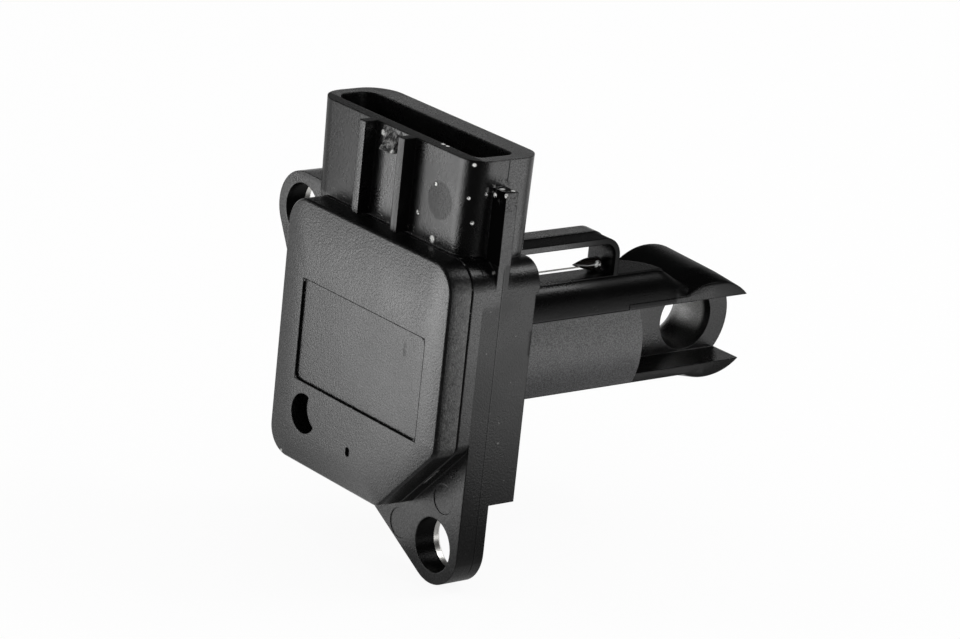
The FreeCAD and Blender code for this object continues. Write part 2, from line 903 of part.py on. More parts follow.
def make_parts_row(places, length, width, thickness):
    """Small chip parts, each a separate block on the board."""
    blocks = [box(x, x + length, board_front - thickness, board_front, z, z + width) for x, z in places]
    return Part.makeCompound(blocks)


def ribbon(start, end, width_axis):
    """Flat bond ribbon: an arch between two places, level at both ends."""
    run = end - start
    flat = vec(run.x, 0, run.z)
    unit = vec(flat).normalize()
    out = vec(0, -1, 0)
    top = min(start.y, end.y) - ribbon_rise
    points = [
        start,
        start + unit * ribbon_foot,
        vec(start.x, top, start.z) + flat * ribbon_shoulder,
        vec(start.x, top, start.z) + flat * (1 - ribbon_shoulder),
        end - unit * ribbon_foot,
        end,
    ]
    upper = [point + out * ribbon_thickness for point in reversed(points)]
    loop = Part.makePolygon(points + upper + [points[0]])
    face = Part.Face(loop)
    half = width_axis * (ribbon_width / 2)
    face.translate(half * -1)
    return face.extrude(width_axis * ribbon_width)


def make_bond_wires():
    """Ribbons from the board to the terminals, the pins and the thermistor's leads."""
    pieces = []
    board_top = plate_top - board_margin
    board_right = plate_right - board_margin
    terminal_front = terminal_back_y - terminal_thickness
    across = vec(1, 0, 0)
    upright = vec(0, 0, 1)
    for index in range(terminal_count):
        x = terminal_left(index) + terminal_width / 2
        if x > board_right:
            continue
        start = vec(x, board_front, board_top - bond_pad)
        end = vec(x, terminal_front, terminal_foot_z + bond_pad)
        pieces.append(ribbon(start, end, across))
    for index in range(pin_count):
        start = vec(board_right - bond_pad, board_front, pin_z(index))
        end = vec(pin_x, floor_y - pin_rise, pin_z(index))
        pieces.append(ribbon(start, end, upright))
    return pieces


def make_gel(sunk):
    """Soft fill over the circuit; sunk are the pieces that stand in it."""
    depth = floor_y - gel_front_y
    body = prism(case_corners(case_wall + gel_clearance), front(gel_front_y), vec(0, depth, 0))
    body = body.common(make_chamber())
    for piece in sunk:
        body = body.cut(piece)
    return max(body.Solids, key=lambda solid: solid.Volume)


def main():
    os.makedirs("parts", exist_ok=True)
    terminals = [make_terminal(index) for index in range(terminal_count)]
    pins = [make_pin(index) for index in range(pin_count)]
    bead = make_bead()
    leads = [make_lead(index, bead) for index in range(2)]
    lid = make_lid()
    plate = make_base_plate()
    board = make_board()
    chip = make_chip()
    left_x = plate_left + board_margin + part_margin
    low_z = plate_bottom + board_margin + part_margin
    step = capacitor_width * 2
    capacitors = make_parts_row(
        chip_places(1, 3, left_x, low_z, 0, step), capacitor_length, capacitor_width, capacitor_thickness
    )
    resistors = make_parts_row(
        chip_places(3, 2, left_x + capacitor_length + part_gap, low_z, resistor_pitch, resistor_width * 2),
        resistor_length,
        resistor_width,
        resistor_thickness,
    )
    ribbons = make_bond_wires()
    gel = make_gel([plate, board, chip, capacitors, resistors] + terminals + pins + leads + ribbons)
    nodes = {
        "housing": make_housing(terminals + pins + leads),
        "front_cover": make_front_cover(),
        "cover_sealant": make_cover_sealant(),
        "bypass_cover": lid,
        "bypass_sealant": make_lid_sealant(lid),
        "bush_lower": make_bush(lower_ear_x, lower_ear_z),
        "bush_upper": make_bush(upper_ear_x, upper_ear_z),
        "thermistor_bead": bead,
        "thermistor_lead_a": leads[0],
        "thermistor_lead_b": leads[1],
        "base_plate": plate,
        "substrate": board,
        "control_chip": chip,
        "chip_capacitors": capacitors,
        "chip_resistors": resistors,
        "circuit_gel": gel,
        "hot_element": make_element(0),
        "cold_element": make_element(2),
        "bond_wires": Part.makeCompound(ribbons),
    }
    for index, terminal in enumerate(terminals):
        nodes["terminal_%d" % (index + 1)] = terminal
    for index, pin in enumerate(pins):
        nodes["element_pin_%d" % (index + 1)] = pin
    for name, shape in nodes.items():
        assert shape.isValid(), name
        print(name, len(shape.Solids), "solids", round(shape.Volume, 2), "mm3")
        shape.exportStep(os.path.join("parts", name + ".step"))


main()
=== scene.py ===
import math
from functools import reduce

import bpy
import numpy as np
from mathutils import Matrix, Vector


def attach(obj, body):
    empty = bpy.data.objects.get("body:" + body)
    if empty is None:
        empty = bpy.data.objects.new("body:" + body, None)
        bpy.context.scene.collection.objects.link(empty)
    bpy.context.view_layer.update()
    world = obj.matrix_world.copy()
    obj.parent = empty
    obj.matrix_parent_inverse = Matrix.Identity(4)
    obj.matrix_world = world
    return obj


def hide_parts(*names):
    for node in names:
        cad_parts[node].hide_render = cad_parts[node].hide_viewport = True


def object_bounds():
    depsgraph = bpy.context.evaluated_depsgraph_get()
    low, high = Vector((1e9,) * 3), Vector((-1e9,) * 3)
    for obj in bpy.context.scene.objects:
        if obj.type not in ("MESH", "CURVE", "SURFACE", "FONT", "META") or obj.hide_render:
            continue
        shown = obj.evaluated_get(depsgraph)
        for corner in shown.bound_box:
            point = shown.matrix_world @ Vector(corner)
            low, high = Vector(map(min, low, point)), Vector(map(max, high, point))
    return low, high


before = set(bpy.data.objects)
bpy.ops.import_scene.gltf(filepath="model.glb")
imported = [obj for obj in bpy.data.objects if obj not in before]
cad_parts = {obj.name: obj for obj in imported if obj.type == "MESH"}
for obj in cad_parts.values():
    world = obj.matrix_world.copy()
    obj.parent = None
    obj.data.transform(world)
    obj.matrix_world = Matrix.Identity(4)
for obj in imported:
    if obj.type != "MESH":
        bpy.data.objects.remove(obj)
cad_low, cad_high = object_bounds()

# Camera
# A long lens looks down on the cover from the right, turned a few degrees as the photograph was.

camera_place = Vector((0.39192, -0.31304, 0.16544))
camera_turn = math.radians(50.536)
camera_drop = math.radians(17.714)
camera_roll = math.radians(6.036)
focal_length = 156.1

look = Vector((
    -math.sin(camera_turn) * math.cos(camera_drop),
    math.cos(camera_turn) * math.cos(camera_drop),
    -math.sin(camera_drop),
))
level_right = Vector((math.cos(camera_turn), math.sin(camera_turn), 0.0))
level_up = level_right.cross(look)
right = level_right * math.cos(camera_roll) + level_up * math.sin(camera_roll)
up = level_up * math.cos(camera_roll) - level_right * math.sin(camera_roll)

lens = bpy.data.cameras.new("camera")
lens.sensor_width = 36.0
lens.lens = focal_length
lens.clip_start = 0.02
lens.clip_end = 20.0
camera = bpy.data.objects.new("camera", lens)
camera.matrix_world = Matrix((
    (right.x, up.x, -look.x, camera_place.x),
    (right.y, up.y, -look.y, camera_place.y),
    (right.z, up.z, -look.z, camera_place.z),
    (0.0, 0.0, 0.0, 1.0),
))
bpy.context.scene.collection.objects.link(camera)
bpy.context.scene.camera = camera
bpy.context.scene.view_settings.view_transform = "Standard"

# Housing
# One black moulding in glass-filled polyester: case, flange, connector, block, arm and bell. The mould
# left a fine grain all over, and a thin parting line up the right side.


class Wire:
    """An output socket of a shader node. Arithmetic on it adds Math nodes, with numbers on either side."""

    def __init__(self, tree, socket=None):
        self.tree = tree
        self.socket = socket

    def node(self, kind, settings, sockets, output=0):
        """Add one node: its settings first, then a value or a link for each of its sockets."""
        made = self.tree.nodes.new(kind)
        for name, value in settings.items():
            setattr(made, name, value)
        for key, value in sockets.items():
            if isinstance(value, Wire):
                self.tree.links.new(value.socket, made.inputs[key])
            else:
                made.inputs[key].default_value = value
        return Wire(self.tree, made.outputs[output])

    def maths(self, operation, first, second=0.0, clamp=False):
        """One Math node."""
        return self.node(
            "ShaderNodeMath", {"operation": operation, "use_clamp": clamp}, {0: first, 1: second}
        )

    def __add__(self, other):
        return self.maths("ADD", self, other)

    __radd__ = __add__

    def __mul__(self, other):
        return self.maths("MULTIPLY", self, other)

    __rmul__ = __mul__

    def __sub__(self, other):
        return self.maths("SUBTRACT", self, other)

    def __rsub__(self, other):
        return self.maths("SUBTRACT", other, self)

    def __truediv__(self, other):
        return self.maths("DIVIDE", self, other)

    def __rtruediv__(self, other):
        return self.maths("DIVIDE", other, self)

    def step(self, start, end):
        """0 below start, 1 above end, and a smooth rise between them; it falls where end is lower."""
        return self.node(
            "ShaderNodeMapRange",
            {"interpolation_type": "SMOOTHSTEP"},
            {"Value": self, "From Min": start, "From Max": end, "To Min": 0.0, "To Max": 1.0},
        )

    def band(self, low, high, soft):
        """1 between low and high and 0 beyond them, with soft edges."""
        return self.step(low - soft, low + soft) * self.step(high + soft, high - soft)

    def either(self, other):
        """The greater of two values."""
        return self.maths("MAXIMUM", self, other)

    def blend(self, low, high):
        """Colour that goes from low to high with this value; 6, 7 and 2 are the Mix node's colours."""
        return self.node("ShaderNodeMix", {"data_type": "RGBA"}, {0: self, 6: low, 7: high}, 2)

    def bump(self, strength, distance, normal=None):
        """Normals of a relief that is distance metres high where this value is 1, over given normals."""
        sockets = {"Strength": strength, "Distance": distance, "Height": self}
        if normal is not None:
            sockets["Normal"] = normal
        return self.node("ShaderNodeBump", {}, sockets)

    def split(self):
        """X, Y and Z of a vector."""
        made = self.node("ShaderNodeSeparateXYZ", {}, {0: self}).socket.node
        return [Wire(self.tree, socket) for socket in made.outputs]

    def noise(self, scale, detail=2.0, roughness=0.5):
        """Noise at this place, with about as many lumps to its unit of length as scale says."""
        sockets = {"Vector": self, "Scale": scale, "Detail": detail, "Roughness": roughness}
        return self.node("ShaderNodeTexNoise", {}, sockets)

    def stretched(self, x, y, z):
        """This place with each axis drawn out by a factor."""
        return self.node("ShaderNodeMapping", {"vector_type": "POINT"}, {"Vector": self, "Scale": (x, y, z)})

    def in_mm(self):
        """This place in millimetres."""
        return self.stretched(1000, 1000, 1000)

    def distance(self, centre):
        """Distance from this place to a centre."""
        return self.node("ShaderNodeVectorMath", {"operation": "DISTANCE"}, {0: self, 1: centre}, "Value")

    def spot(self, centre, radius):
        """1 up to half the radius from a centre, falling to 0 at the radius."""
        return self.distance(centre).step(radius, radius * 0.5)


def greatest(values):
    """The greatest of several values."""
    return reduce(Wire.either, values)


def new_finish(name):
    """A material with a lone Principled shader: returns it, its place on the object and its shader."""
    material = bpy.data.materials.new(name)
    material.use_nodes = True
    tree = material.node_tree
    place = Wire(tree).node("ShaderNodeTexCoord", {}, {}, "Object")
    return material, place, tree.nodes["Principled BSDF"]


def plug_in(place, shader, sockets):
    """Give a value or a link to each named socket of a material's shader."""
    for name, value in sockets.items():
        if isinstance(value, Wire):
            place.tree.links.new(value.socket, shader.inputs[name])
        else:
            shader.inputs[name].default_value = value


def lay_over(place, shader, share, layer):
    """Mix another shader over a material's own one, by a share."""
    under = Wire(place.tree, shader.outputs[0])
    mixed = place.node("ShaderNodeMixShader", {}, {0: share, 1: under, 2: layer})
    place.tree.links.new(mixed.socket, place.tree.nodes["Material Output"].inputs["Surface"])


def dress(name, material, crease=28.0):
    """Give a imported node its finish, and shade its faces smoothly up to the crease angle in degrees."""
    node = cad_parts[name]
    node.data.materials.clear()
    node.data.materials.append(material)
    node.data.polygons.foreach_set("use_smooth", np.ones(len(node.data.polygons), dtype=bool))
    weld = node.modifiers.new("weld", "WELD")
    weld.merge_threshold = 1e-6
    split = node.modifiers.new("crease", "EDGE_SPLIT")
    split.split_angle = math.radians(crease)


def black_moulding(place, shader, tone, polish, grain_depth, edge, pits, pale, black=0.0, relief=0.0):
    """Black plastic with fine grain and slightly rounded edges.

    Tone is its grey and polish its least roughness. Grain depth and relief are heights in millimetres,
    edge is the radius of the edges in metres. Pits is how much of the shine the pits of the grain take
    away, pale the share of pale plastic (chips, dust, painted glints and highlights), black the share
    of matt black laid over the shine (stains, scratches and painted shade).
    """
    fleck_tone = tone + 0.009
    # Pale colour of chips and dust, and of painted glints and highlights.
    chips_and_glints = (0.85, 0.85, 0.83, 1)
    # Matt black of stains and scratches, and of painted shade.
    matt_shade_and_stain = (0.0015, 0.0015, 0.0015, 1)
    grain = place.noise(3600.0, 3.0, 0.6)
    cloud = place.noise(160.0, 3.0).step(0.3, 0.7)
    fleck = place.noise(2600.0, 2.0).step(0.66, 0.72)
    moulded = fleck.blend((tone, tone, tone * 1.03, 1), (fleck_tone, fleck_tone, fleck_tone, 1))
    rounded = place.node("ShaderNodeBevel", {"samples": 6}, {"Radius": edge})
    plug_in(place, shader, {
        "Base Color": pale.blend(moulded, chips_and_glints),
        "Roughness": cloud * 0.06 + polish + grain * 0.08,
        "Normal": (grain * grain_depth + relief).bump(1.0, 0.001, rounded),
    })
    pitted = place.noise(5800.0, 2.0, 0.6).step(0.64, 0.36) * pits
    lay_over(place, shader, pitted.either(black), place.node("ShaderNodeBsdfDiffuse", {}, {"Color": matt_shade_and_stain}))


# Each mark below is a share from 0 to 1, bounded by places in millimetres. Noise breaks up most of the
# pale ones.
screw_holes = ((12.1, 0, -21.15), (-21.5, 0, 13.05))
bore_radius = 3.6
passage_centre = (0, 43.3, 0.1)
passage_radius = 4.4
stain_centre = (8.5, -5.7, 23.2)

housing_finish, place, shader = new_finish("housing_plastic")
mm = place.in_mm()
x, y, z = mm.split()
patchy = place.noise(1500.0, 4.0, 0.7)
seen_along_x = mm.stretched(0, 1, 1)
seen_along_y = mm.stretched(1, 0, 1)

# Painted glints: flecks of hardened glue and flash, coloured as bright as their highlights, most of
# them on the connector's front and right end: the centre and radius of each.
glint_places = (
    ((7.7, -5.7, 18.0), 0.62),
    ((6.2, -4.2, 29.7), 0.4),
    ((7.1, -4.2, 29.7), 0.35),
    ((13.5, -4.9, 29.1), 0.32),
    ((7.4, -5.7, 25.0), 0.36),
    ((4.4, -5.7, 20.5), 0.42),
    ((13.2, -5.0, 24.8), 0.28),
    ((13.7, -4.5, 21.7), 0.32),
    ((14.3, -3.2, 25.5), 0.3),
    ((15.1, -2.5, 25.5), 0.42),
    ((17.2, -2.5, 26.0), 0.4),
    ((15.4, -1.7, 26.3), 0.45),
    ((16.5, -0.9, 26.3), 0.4),
    ((-4.1, -5.7, 28.4), 0.5),
    ((-0.5, -6.8, 26.9), 0.5),
)
glints = greatest(mm.spot(centre, radius) for centre, radius in glint_places)
glints = glints * place.noise(2600.0, 2.0).step(0.36, 0.42)

# Pale plastic: glints painted on the latch and at the top of the right rib, dust and painted glints
# at the connector's foot, a painted highlight streak on the case's rim by the cover's sloping corner,
# chips up the right side, and a painted reflection on the wall of the bell's passage.
# Glints painted on the latch nub.
latch = x.band(-4.0, -0.2, 0.3) * z.band(26.6, 29.3, 0.3) * y.step(-5.5, -5.7) * patchy.step(0.44, 0.60)
# Glints painted on the rough top end of the right rib.
rib_end = mm.spot((15.6, -1.6, 25.6), 2.6) * patchy.step(0.54, 0.60)
# Dust and painted glints along the connector's foot.
foot_dust_and_glints = y.band(-5.9, -5.5, 0.1) * z.band(17.4, 18.6, 0.3) * patchy.step(0.60, 0.66) * 0.24
# A painted highlight streak on the case's rim by the cover's sloping corner.
streak_highlight = y.band(-5.9, -5.6, 0.05) * x.band(11.2, 13.6, 0.3) * z.step(-9.0, -10.0)
streak_highlight = streak_highlight * patchy.step(0.42, 0.52) * 0.2
chips = place.noise(900.0, 1.0).step(0.745, 0.77)
right_chips = x.step(14.0, 14.3) * z.band(-20.0, 24.0, 1.0) * chips * 0.15
in_passage = seen_along_x.distance(passage_centre).step(passage_radius + 0.3, passage_radius)
# A painted reflection on the lower far wall of the passage.
passage_reflection = in_passage * x.band(-5.0, 0.6, 0.4) * z.step(-2.8, -0.4) * 0.38
pale = greatest((glints, latch * 0.27, rib_end * 0.24, streak_highlight, foot_dust_and_glints, right_chips, passage_reflection))

# Matt black laid over the shine: painted shade in most places, and one real stain. First on the
# connector: painted shade on its rim, on the front of its right rib, on its front to both sides of the
# latch and in a fine groove above the right rib, and a round stain.
rim_front_shade = z.step(29.4, 29.55) * y.step(-3.7, -4.1) * 0.7
rib_front_shade = y.step(-2.3, -2.45) * x.step(14.6, 14.8) * z.band(17.0, 26.6, 0.1)
beside_latch = x.step(0.0, 3.0).either(x.step(-5.0, -7.0))
# Painted shade on the connector's front to both sides of the latch.
connector = z.step(17.3, 17.7) * y.step(-3.5, -4.6) * beside_latch * 0.5
# Painted shade in a fine groove above the right rib.
groove_shade = y.band(-0.28, -0.12, 0.04) * x.step(14.2, 14.3) * z.band(26.7, 29.6, 0.2) * 0.85
stain_radius = patchy * 0.9 + 2.0
stain = (mm.distance(stain_centre) / stain_radius).step(1.2, 0.92) * 0.66

# Then painted shade on the right side of flange and block, in front of the parting line and behind
# it, and on the walls of the screw holes; and the parting line itself.
right_side = x.step(16.9, 17.1)
flange_band_shade = right_side * y.band(-4.3, -1.5, 0.05) * z.step(13.0, 11.0) * 0.45
block_side_shade = right_side * y.step(-1.5, -1.3) * z.step(17.3, 16.8) * 0.45
parting = y.band(-1.57, -1.43, 0.04) * x.step(16.0, 17.0) * z.step(17.0, 16.0) * 0.8
behind_front = y.step(-4.15, -4.05) * 0.85
bore_shade = [
    seen_along_y.distance(centre).step(bore_radius + 0.15, bore_radius) * behind_front
    for centre in screw_holes
]

# Then painted shade on the arm and the bell: the shoulder's flank and the upper part of its end, the
# rail's top past the guard, the low step along the guard's top, the right face by the bell, and the
# bell's own top.
shoulder_shade = x.step(4.4, 4.9) * z.band(4.4, 8.2, 0.5) * y.band(3.4, 37.0, 0.6) * 0.8
shoulder_end_shade = x.step(3.9, 4.6) * y.step(13.0, 26.0) * z.step(6.0, 6.5) * 0.85
far_rail_shade = z.band(8.75, 9.2, 0.05) * y.band(28.1, 36.0, 0.3) * 0.75
guard_step_shade = z.band(13.9, 14.1, 0.05) * x.step(1.75, 1.85) * y.step(4.0, 4.4) * 0.9
arm_end_shade = x.step(6.6, 6.8) * y.step(29.0, 30.0) * (z.step(-3.0, -4.5) * 0.2 + 0.4)
bell_top_shade = y.step(36.0, 38.0) * z.step(3.0, 5.0) * x.step(6.85, 6.75) * 0.75
black = greatest((
    rim_front_shade, rib_front_shade, connector, groove_shade, stain,
    flange_band_shade, block_side_shade, parting, *bore_shade,
    shoulder_shade, shoulder_end_shade, far_rail_shade, guard_step_shade, arm_end_shade, bell_top_shade,
))
black_moulding(
    place, shader, tone=0.002, polish=0.22, grain_depth=0.035, edge=0.00022, pits=0.30,
    pale=pale,
    black=black * (1 - pale.step(0.2, 0.5)),
    relief=(latch + rib_end) * patchy * 0.3 + glints * 0.15,
)
dress("housing", housing_finish)

# Arm shoulder
# On the right, the same moulding sweeps from the rail down to the bypass cover in one quarter-round,
# and fades into the bell. It is fitted over the stepped wall of the solid.


def tube_quads(rings, sides):
    """Quads between each ring of a closed tube and the next, where each ring has that many points."""
    ring, side = np.meshgrid(np.arange(rings - 1), np.arange(sides), indexing="ij")
    beside = (side + 1) % sides
    near, far = ring * sides, (ring + 1) * sides
    corners = (near + side, near + beside, far + beside, far + side)
    return np.stack(corners, axis=2).reshape(-1, 4).tolist()


def quarter_round(along, top_z, low_z, left_x, right_x, steps):
    """Closed tube along y, in millimetres: at angle a its skin lies at left + (right - left) sin a and
    floor + (top - floor) cos a, cut off at low, and three more points close it inside the arm."""
    angle = np.linspace(0.0, np.pi / 2, steps)
    skin_x = np.broadcast_to(left_x + (right_x - left_x) * np.sin(angle), (len(along), steps))
    floor_z = low_z.min()
    skin_z = np.maximum(floor_z + (top_z[:, None] - floor_z) * np.cos(angle), low_z[:, None])
    inside_x = np.broadcast_to((right_x - 1.3, left_x + 0.6, left_x - 0.1), (len(along), 3))
    inside_z = np.stack((low_z + 0.25, top_z - 1.6, top_z - 0.5), axis=1)
    ring_x = np.concatenate((skin_x, inside_x), axis=1)
    ring_z = np.concatenate((skin_z, inside_z), axis=1)
    ring_y = np.broadcast_to(along[:, None], ring_x.shape)
    points = np.stack((ring_x, ring_y, ring_z), axis=2).reshape(-1, 3)
    sides = ring_x.shape[1]
    first = np.arange(sides)[::-1]
    last = np.arange(sides) + (len(along) - 1) * sides
    return points, [*tube_quads(len(along), sides), first.tolist(), last.tolist()]


def smooth_piece(name, points, faces, finish):
    """Object with a smoothly shaded mesh of points, in millimetres, and faces."""
    mesh = bpy.data.meshes.new(name)
    mesh.from_pydata((points / 1000.0).tolist(), [], faces)
    mesh.polygons.foreach_set("use_smooth", np.ones(len(faces), dtype=bool))
    mesh.materials.append(finish)
    piece = bpy.data.objects.new(name, mesh)
    bpy.context.scene.collection.objects.link(piece)
    return piece


rail_top = 8.83
lid_top = 4.5
strip_top = 5.15
strip_start = 28.7
fall_start = 34.2
fall_length = 5.6
fall_depth = 2.35
flank_left = 4.35
flank_right = 6.88
along = np.concatenate((
    np.linspace(3.6, strip_start - 0.04, 36),
    np.linspace(strip_start + 0.04, 34.0, 12),
    np.linspace(34.3, fall_start + fall_length, 30),
))
fall = np.clip((along - fall_start) / fall_length, 0.0, 1.0)
shoulder_top = rail_top - fall_depth * fall * fall * (3 - 2 * fall)
shoulder_low = np.where(along < strip_start, lid_top, strip_top)
points, faces = quarter_round(along, shoulder_top, shoulder_low, flank_left, flank_right, 22)
shoulder = smooth_piece("arm_shoulder", points, faces, housing_finish)
shoulder.data.set_sharp_from_angle(angle=math.radians(35))
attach(shoulder, "root")

# Front cover
# A flat cover in the same black plastic, with a bare recessed panel. Its face is duller than the
# housing, with a slight orange-peel, and its tongue is glued into the groove of the case.

panel_centre = (0.15, 0.38)
panel_half = (12.9, 6.7)

cover_finish, place, shader = new_finish("cover_plastic")
mm = place.in_mm()
x, y, z = mm.split()
patchy = place.noise(1500.0, 4.0, 0.7)
panel_x = place.maths("ABSOLUTE", x - panel_centre[0]) - panel_half[0]
panel_z = place.maths("ABSOLUTE", z - panel_centre[1]) - panel_half[1]
panel_edge = panel_x.either(panel_z)
on_face = y.step(-9.0, -9.1)
# Painted shade along the edge of the recessed panel.
panel_edge_shade = panel_edge.band(-0.16, 0.12, 0.05) * on_face * patchy.step(0.30, 0.45) * 0.85
lower_right = x.step(2.0, 6.0) * z.step(2.0, -2.0)
flash = panel_edge.band(-0.25, 0.15, 0.1) * lower_right * on_face * patchy.step(0.60, 0.66) * 0.2
# The scratch is a spot that is narrow across and drawn out upwards.
across = 1.6
upwards = 0.55
scratch = mm.stretched(across, 1, upwards).spot((8.9 * across, -9.2, 4.3 * upwards), 0.9)
scratch = scratch * patchy.step(0.40, 0.55) * 0.45
speck = mm.spot((-14.2, -9.5, -16.8), 0.32) * 0.5
scuffs = x.step(16.5, 17.0) * y.step(-9.0, -8.4) * patchy.step(0.2, 0.7) * 0.06
black_moulding(
    place, shader, tone=0.003, polish=0.27, grain_depth=0.05, edge=0.0002, pits=0.30,
    pale=greatest((flash, speck, scuffs)),
    black=panel_edge_shade.either(scratch),
    relief=place.noise(900.0, 2.0) * 0.014,
)
dress("front_cover", cover_finish)

# Cover adhesive
# Black silicone laid in the groove as a bead, which the cover's tongue presses out.


def cured_silicone(name, tone):
    """Rubbery adhesive: uneven gloss from its wetting of the groove."""
    material, place, shader = new_finish(name)
    flow = place.noise(900.0, 2.0)
    plug_in(place, shader, {
        "Base Color": flow.blend((tone, tone, tone, 1), (tone * 2, tone * 2, tone * 2.1, 1)),
        "Roughness": flow * 0.25 + 0.22,
        "Normal": flow.bump(0.4, 0.00006),
    })
    return material


dress("cover_sealant", cured_silicone("cover_adhesive", tone=0.01))

# Bypass cover
# A bulging lid in black plastic over the bypass channel in the arm, set in adhesive. It has the
# coarsest grain of the pieces, and its upper half is painted paler, a painted sheen.

lid_finish, place, shader = new_finish("bypass_cover_plastic")
lid_height = place.in_mm().split()[2]
black_moulding(
    place, shader, tone=0.06, polish=0.38, grain_depth=0.06, edge=0.00015, pits=0.45,
    # Painted sheen: the upper half paler.
    pale=lid_height.step(-4.0, 3.0) * 0.06,
)
dress("bypass_cover", lid_finish, crease=40.0)
dress("bypass_sealant", cured_silicone("bypass_adhesive", tone=0.008))

# Screw bushes
# Turned steel rings, zinc plated, pressed into the rear of the screw holes.


def turned_metal(name, colour, rings):
    """Plated metal with fine turning marks, closer along y by the factor rings, and dull spots."""
    material, place, shader = new_finish(name)
    marks = place.stretched(1, rings, 1).noise(700.0, 2.0)
    dull = place.noise(1500.0, 3.0)
    dull_colour = (*(part * 0.7 for part in colour[:3]), 1)
    plug_in(place, shader, {
        "Base Color": dull.blend(colour, dull_colour),
        "Metallic": 1.0,
        "Roughness": marks * 0.2 + 0.22,
        "Normal": marks.bump(0.3, 0.00002),
    })
    return material


plated_steel = turned_metal("bush_metal", (0.74, 0.73, 0.70, 1), rings=12.0)
for name in ("bush_lower", "bush_upper"):
    dress(name, plated_steel)

# Air temperature bead and its leads
# A thermistor dipped in dark glaze, drawn out to a point over two tinned wires that run back
# through the block. Its glaze is as smooth as glass, with a painted highlight on its ball end.

glaze, place, shader = new_finish("bead_glaze")
ripple = place.noise(500.0, 1.0)
dark_glaze = ripple.blend((0.003, 0.003, 0.003, 1), (0.012, 0.009, 0.008, 1))
# A painted highlight on the ball end of the drop.
highlight_colour = (0.6, 0.6, 0.59, 1)
painted_highlight = place.spot((0.0030, 0.02575, 0.0099), 0.0006) * place.noise(2600.0, 2.0).step(0.38, 0.52)
plug_in(place, shader, {
    "Base Color": painted_highlight.blend(dark_glaze, highlight_colour),
    "Roughness": ripple * 0.08 + 0.05,
    "Coat Weight": 0.6,
    "Normal": ripple.bump(0.15, 0.0001),
})
dress("thermistor_bead", glaze, crease=60.0)


def dipped_drop(tip, centre, radius, rings, sides):
    """Drop of glaze from its tip to its ball end, in millimetres. Its radius rises with the sine of the way
    to the ball's centre and falls as a quarter circle behind it, with a slow three-sided ripple."""
    tip, centre = np.array(tip), np.array(centre)
    length = np.linalg.norm(centre - tip)
    axis = (centre - tip) / length
    side = np.cross(axis, (1.0, 0.0, 0.0))
    side /= np.linalg.norm(side)
    other = np.cross(axis, side)
    before = np.linspace(0.03, 1.0, rings) * length
    behind_angle = np.linspace(0.0, np.pi / 2, rings // 2)[1:-1]
    way = np.concatenate((before, length + radius * np.sin(behind_angle)))
    swell = np.sin(np.pi / 2 * before / length) ** 0.9
    reach = radius * np.concatenate((swell, np.cos(behind_angle)))
    turn = np.linspace(0.0, 2 * np.pi, sides, endpoint=False)
    wave = 1 - 0.05 * (1 + np.sin(3 * turn[None, :] + 1.3 * way[:, None])) * (way[:, None] < length)
    ring = reach[:, None] * wave
    skin = (
        tip
        + axis * way[:, None, None]
        + side * (ring * np.cos(turn))[:, :, None]
        + other * (ring * np.sin(turn))[:, :, None]
    )
    points = np.concatenate((skin.reshape(-1, 3), [tip, centre + axis * radius]))
    first = np.arange(sides)
    last = first + (len(way) - 1) * sides
    near_end = np.stack((np.full(sides, len(points) - 2), np.roll(first, -1), first), axis=1)
    far_end = np.stack((np.full(sides, len(points) - 1), last, np.roll(last, -1)), axis=1)
    return points, [*tube_quads(len(way), sides), *near_end.tolist(), *far_end.tolist()]


points, faces = dipped_drop(
    tip=(2.2, 22.1, 9.95), centre=(2.2, 26.05, 9.77), radius=0.92, rings=40, sides=48
)
drop = smooth_piece("glazed_drop", points, faces, glaze)
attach(drop, "root")
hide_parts("thermistor_bead")
tinned = turned_metal("lead_wire", (0.62, 0.61, 0.58, 1), rings=0.2)
for name in ("thermistor_lead_a", "thermistor_lead_b"):
    dress(name, tinned, crease=60.0)

# Flow elements and their pins
# Two glazed resistors with fine windings, each welded across two steel pins in the channel.

winding, place, shader = new_finish("element_glaze")
turns = place.node("ShaderNodeTexWave", {"bands_direction": "Z"}, {"Vector": place, "Scale": 1300.0})
plug_in(place, shader, {
    "Base Color": turns.blend((0.30, 0.36, 0.34, 1), (0.55, 0.60, 0.56, 1)),
    "Roughness": turns * 0.2 + 0.15,
    "Normal": turns.bump(0.5, 0.00004),
})
for name in ("hot_element", "cold_element"):
    dress(name, winding, crease=40.0)
pin_metal = turned_metal("pin_metal", (0.58, 0.56, 0.52, 1), rings=0.3)
for number in range(1, 5):
    dress("element_pin_%d" % number, pin_metal, crease=40.0)

# Terminals
# Stamped brass blades, tin plated, moulded into the wall between socket and chamber.

blade_metal = turned_metal("terminal_metal", (0.66, 0.62, 0.50, 1), rings=3.0)
for number in range(1, 6):
    dress("terminal_%d" % number, blade_metal)

# Circuit
# A ceramic board on an aluminium plate, with a control chip, small chip parts and bonded aluminium
# ribbons, all under a clear soft gel.


def fired_board(name, low, high, size, polish):
    """Mottled solid colour between low and high, for ceramic and resin."""
    material, place, shader = new_finish(name)
    mottle = place.noise(size, 3.0)
    plug_in(place, shader, {
        "Base Color": mottle.blend(low, high),
        "Roughness": mottle * 0.2 + polish,
        "Normal": mottle.bump(0.3, 0.00002),
    })
    return material


